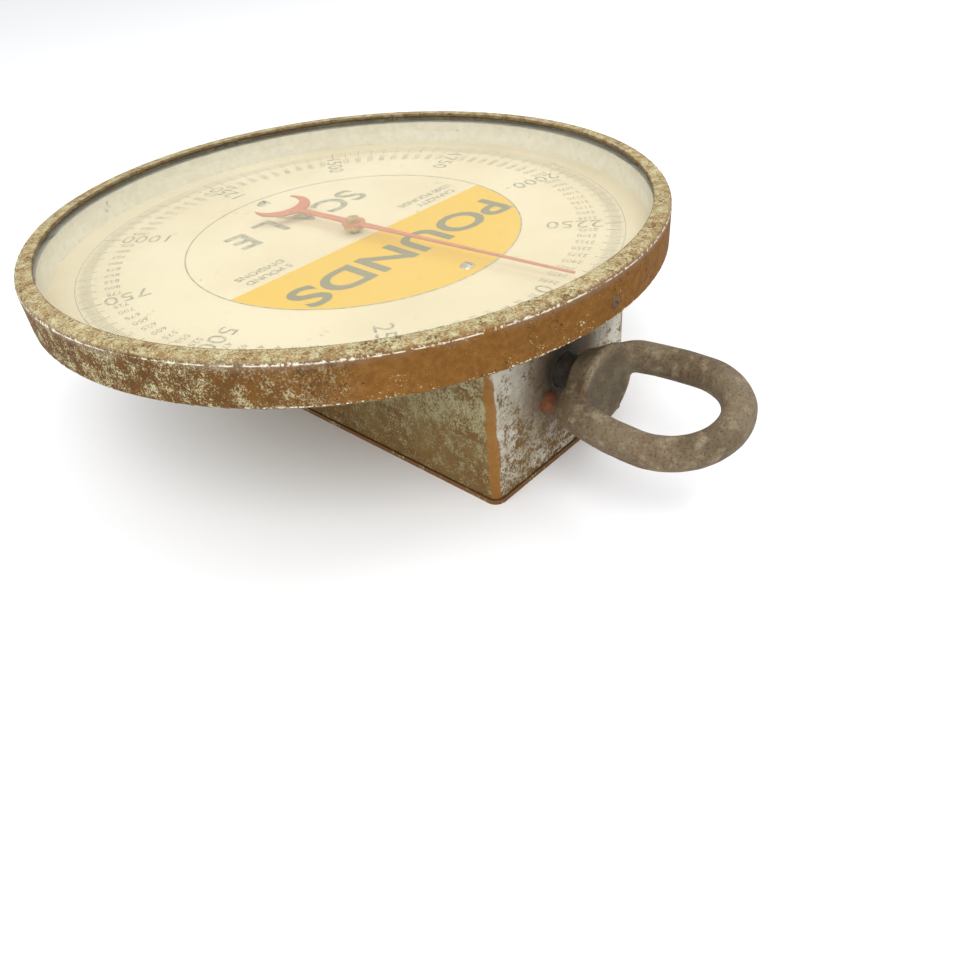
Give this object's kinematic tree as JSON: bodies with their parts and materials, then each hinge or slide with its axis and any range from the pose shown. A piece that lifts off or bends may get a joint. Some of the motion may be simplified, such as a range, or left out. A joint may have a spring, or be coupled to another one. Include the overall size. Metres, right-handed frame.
{
  "type": "crane scale",
  "caption": "Round-dial hanging crane scale with a box housing, a forged lifting eye and a swivelling load hook.",
  "frame": {"origin": "on the dial's axis at the back cover's outer face", "axes": "+Z out of the dial, +Y towards the lifting eye, +X to the right as the dial is read with the eye up"},
  "size_m": [0.4173, 0.599, 0.133],
  "materials": {
    "box_paint": "weathered pale grey-green paint with rust speckle",
    "cover_paint": "weathered paint, edge rusted brown",
    "case_paint": "weathered grey paint",
    "bezel_paint": "cream and brown rusted paint",
    "screw_steel": "dull steel",
    "rusty_bolt": "red-orange rust",
    "window_glass": "hazy old glass",
    "gasket_rubber": "matte black",
    "ring_paint": "matte pale grey",
    "dial_print": "cream enamel with grey and brown print",
    "brass": "satin",
    "bush_bronze": "satin bronze",
    "seal_rubber": "matte black",
    "block_steel": "machined",
    "rod_steel": "turned",
    "spring_steel": "oiled spring wire",
    "pointer_paint": "faded salmon-red paint",
    "forged_steel": "dull pitted forged steel",
    "shaft_steel": "dark turned steel"
  },
  "bodies": {
    "case": {"housing": "box_paint", "back_cover": "cover_paint", "dial_case": "case_paint", "bezel_ring": "bezel_paint", "back_cover_screws": "screw_steel", "case_screws": "screw_steel", "bezel_screws": "screw_steel", "dial_screws": "screw_steel", "pillar_screws": "screw_steel", "movement_screws": "screw_steel", "upper_end_bolts": "rusty_bolt", "lower_end_bolts": "rusty_bolt", "glass": "window_glass", "glass_gasket": "gasket_rubber", "spacer_ring": "ring_paint", "dial_plate": "dial_print", "dial_standoffs": "brass", "front_bush": "brass", "rear_bush": "brass", "movement_front_plate": "brass", "movement_back_plate": "brass", "movement_pillars": "brass", "upper_bush": "bush_bronze", "lower_bush": "bush_bronze", "upper_seal": "seal_rubber", "lower_seal": "seal_rubber", "upper_block": "block_steel", "lower_block": "block_steel", "tie_rod_left": "rod_steel", "tie_rod_right": "rod_steel", "rod_lock_nuts": "rod_steel", "stop_sleeves": "rod_steel", "rest_collars": "rod_steel", "rack_guide": "rod_steel", "load_spring_left": "spring_steel", "load_spring_right": "spring_steel"},
    "eye": {"top_eye": "forged_steel", "eye_shank": "shaft_steel", "eye_cross_pin": "shaft_steel", "shank_nut": "rod_steel", "shank_thrust_washer": "rod_steel"},
    "crosshead": {"crosshead": "block_steel", "guide_bushes": "bush_bronze", "rack_bracket": "rod_steel", "rack_bracket_screws": "screw_steel", "rack": "brass", "rack_screw": "screw_steel"},
    "hook": {"lower_hook": "forged_steel", "draw_bar": "shaft_steel", "hook_cross_pin": "shaft_steel", "draw_bar_nut": "rod_steel", "draw_bar_thrust_washer": "rod_steel"},
    "pointer": {"pointer": "pointer_paint", "pointer_hub": "brass", "pointer_nut": "brass", "pinion_arbor": "rod_steel", "pinion": "brass"}
  },
  "joints": [
    {"name": "eye_swivel", "type": "hinge", "parent": "case", "child": "eye", "pos_m": [0, 0.187, 0.0615], "axis": [0, 1, 0], "continuous": true},
    {"name": "load_travel", "type": "slide", "parent": "case", "child": "crosshead", "axis": [0, -1, 0], "range_m": [0, 0.025], "stiffness_N_per_m": 442000, "springref_m": -0.001, "deforming": ["load_spring_left", "load_spring_right"]},
    {"name": "pointer_turn", "type": "hinge", "parent": "case", "child": "pointer", "pos_m": [0, 0, 0.116], "axis": [0, 0, -1], "range_deg": [0, 360]},
    {"name": "hook_swivel", "type": "hinge", "parent": "crosshead", "child": "hook", "pos_m": [0, -0.187, 0.0615], "axis": [0, 1, 0], "continuous": true}
  ],
  "couplings": [
    {"joint": "pointer_turn", "follows": "load_travel", "rad_per_m": 250}
  ]
}
